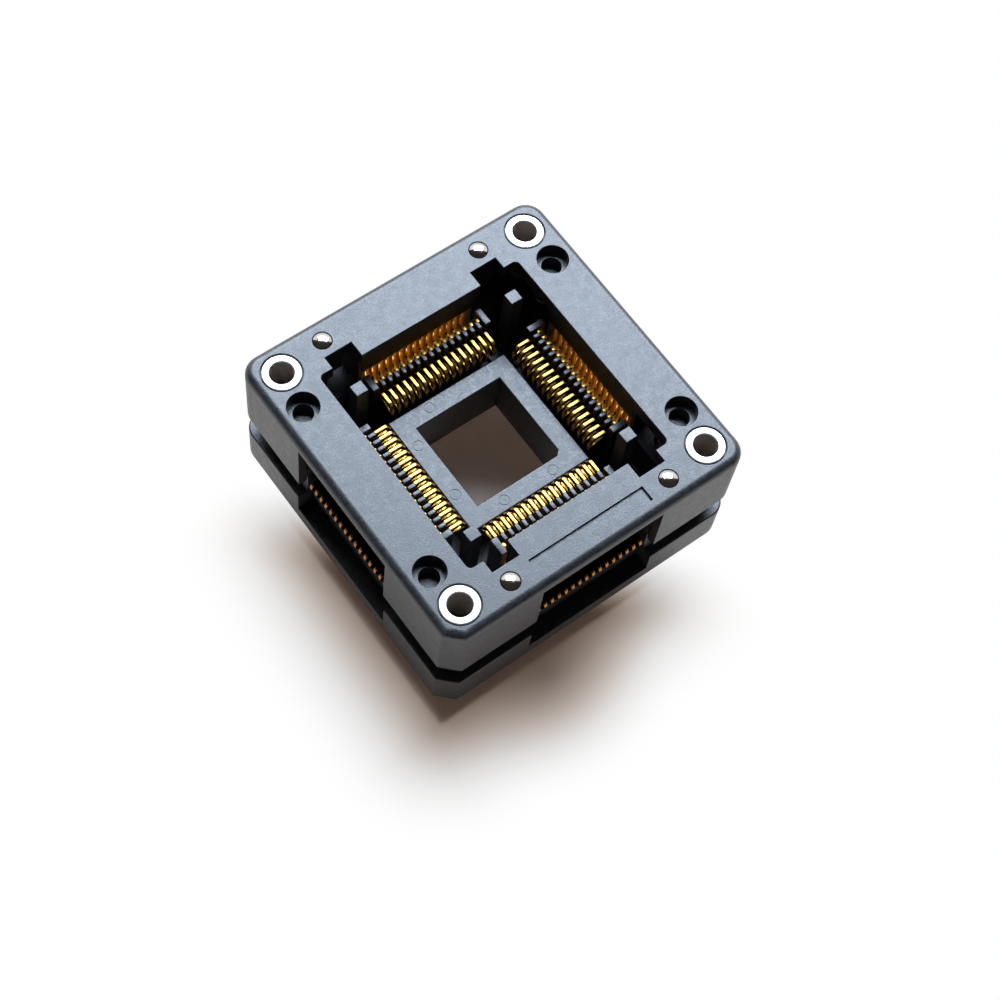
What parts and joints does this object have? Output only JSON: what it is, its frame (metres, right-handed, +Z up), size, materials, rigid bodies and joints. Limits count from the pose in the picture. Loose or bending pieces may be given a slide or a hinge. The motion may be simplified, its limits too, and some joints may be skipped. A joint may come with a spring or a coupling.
{
  "type": "ic test socket",
  "caption": "Square open-top test socket: pressing its sprung floating cover swings rows of gold contact arms outwards, so a flat chip package can be dropped in.",
  "frame": {"origin": "middle of the base's underside, which is also the centre of the four sleeve holes; the tails reach below it", "axes": "+Z up out of the open top, front (-Y) is the side with the bare label place, the cut corner is at -X -Y"},
  "size_m": [0.034, 0.034, 0.0188],
  "materials": {
    "black_plastic": "satin black glass-filled moulding",
    "gold_contact": "gold-plated copper alloy, blanked edges",
    "plated_sleeve": "bright nickel plate",
    "polished_steel": "polished",
    "spring_steel": "drawn wire"
  },
  "bodies": {
    "base": {"socket_base": "black_plastic", "sleeve_front_left": "plated_sleeve", "sleeve_front_right": "plated_sleeve", "sleeve_back_left": "plated_sleeve", "sleeve_back_right": "plated_sleeve", "stems_front": "gold_contact", "stems_back": "gold_contact", "stems_left": "gold_contact", "stems_right": "gold_contact", "hoops_front": "gold_contact", "hoops_back": "gold_contact", "hoops_left": "gold_contact", "hoops_right": "gold_contact", "spring_front_left": "spring_steel", "spring_front_right": "spring_steel", "spring_back_left": "spring_steel", "spring_back_right": "spring_steel"},
    "cover": {"cover": "black_plastic", "pin_front_left": "polished_steel", "pin_front_right": "polished_steel", "pin_back_left": "polished_steel", "pin_back_right": "polished_steel"},
    "contacts_front": {"arms_front": "gold_contact"},
    "contacts_back": {"arms_back": "gold_contact"},
    "contacts_left": {"arms_left": "gold_contact"},
    "contacts_right": {"arms_right": "gold_contact"}
  },
  "joints": [
    {"name": "cover_press", "type": "slide", "parent": "base", "child": "cover", "axis": [0, 0, -1], "range_m": [0, 0.002], "stiffness_N_per_m": 5000, "springref_m": -0.0015, "deforming": ["spring_front_left", "spring_front_right", "spring_back_left", "spring_back_right"]},
    {"name": "contacts_front_swing", "type": "hinge", "parent": "base", "child": "contacts_front", "pos_m": [0, -0.0132, 0.0042], "axis": [1, 0, 0], "range_deg": [0, 9.5], "deforming": ["hoops_front"]},
    {"name": "contacts_back_swing", "type": "hinge", "parent": "base", "child": "contacts_back", "pos_m": [0, 0.0132, 0.0042], "axis": [-1, 0, 0], "range_deg": [0, 9.5], "deforming": ["hoops_back"]},
    {"name": "contacts_left_swing", "type": "hinge", "parent": "base", "child": "contacts_left", "pos_m": [-0.0132, 0, 0.0042], "axis": [0, -1, 0], "range_deg": [0, 9.5], "deforming": ["hoops_left"]},
    {"name": "contacts_right_swing", "type": "hinge", "parent": "base", "child": "contacts_right", "pos_m": [0.0132, 0, 0.0042], "axis": [0, 1, 0], "range_deg": [0, 9.5], "deforming": ["hoops_right"]}
  ],
  "couplings": [
    {"joint": "contacts_front_swing", "follows": "cover_press", "rad_per_m": 82.9},
    {"joint": "contacts_back_swing", "follows": "cover_press", "rad_per_m": 82.9},
    {"joint": "contacts_left_swing", "follows": "cover_press", "rad_per_m": 82.9},
    {"joint": "contacts_right_swing", "follows": "cover_press", "rad_per_m": 82.9}
  ]
}
